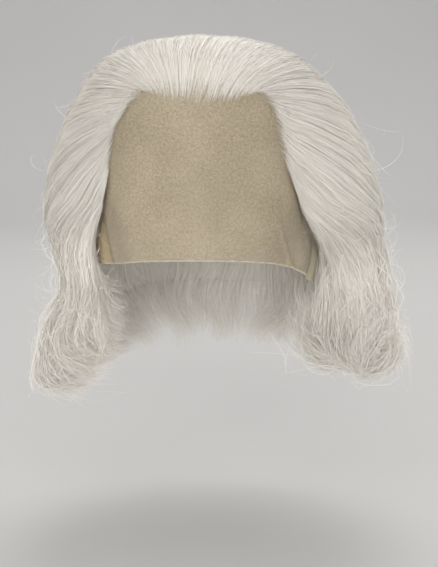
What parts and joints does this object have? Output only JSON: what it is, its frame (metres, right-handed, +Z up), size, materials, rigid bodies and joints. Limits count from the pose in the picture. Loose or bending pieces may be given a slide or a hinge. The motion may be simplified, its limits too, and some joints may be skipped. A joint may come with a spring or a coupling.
{
  "type": "lace front wig",
  "caption": "White swept-back wavy hair falling to the neck on a hollow net cap, with a sheer uncut lace front over the forehead; worn on the head.",
  "frame": {"origin": "where the crown of the head meets the inside of the cap", "axes": "+Z up, the face looks along -Y, +X is the wearer's left"},
  "size_m": [0.2638, 0.2176, 0.268],
  "materials": {
    "white_hair": "fine white hair with a soft sheen, in wavy locks",
    "lace_net": "sheer cream lace net",
    "cap_net": "cream net cap"
  },
  "bodies": {
    "root": {"cap": "cap_net", "lace_front": "lace_net", "right_side_hair": "white_hair", "swept_back_hair": "white_hair", "left_side_hair": "white_hair"}
  },
  "joints": []
}
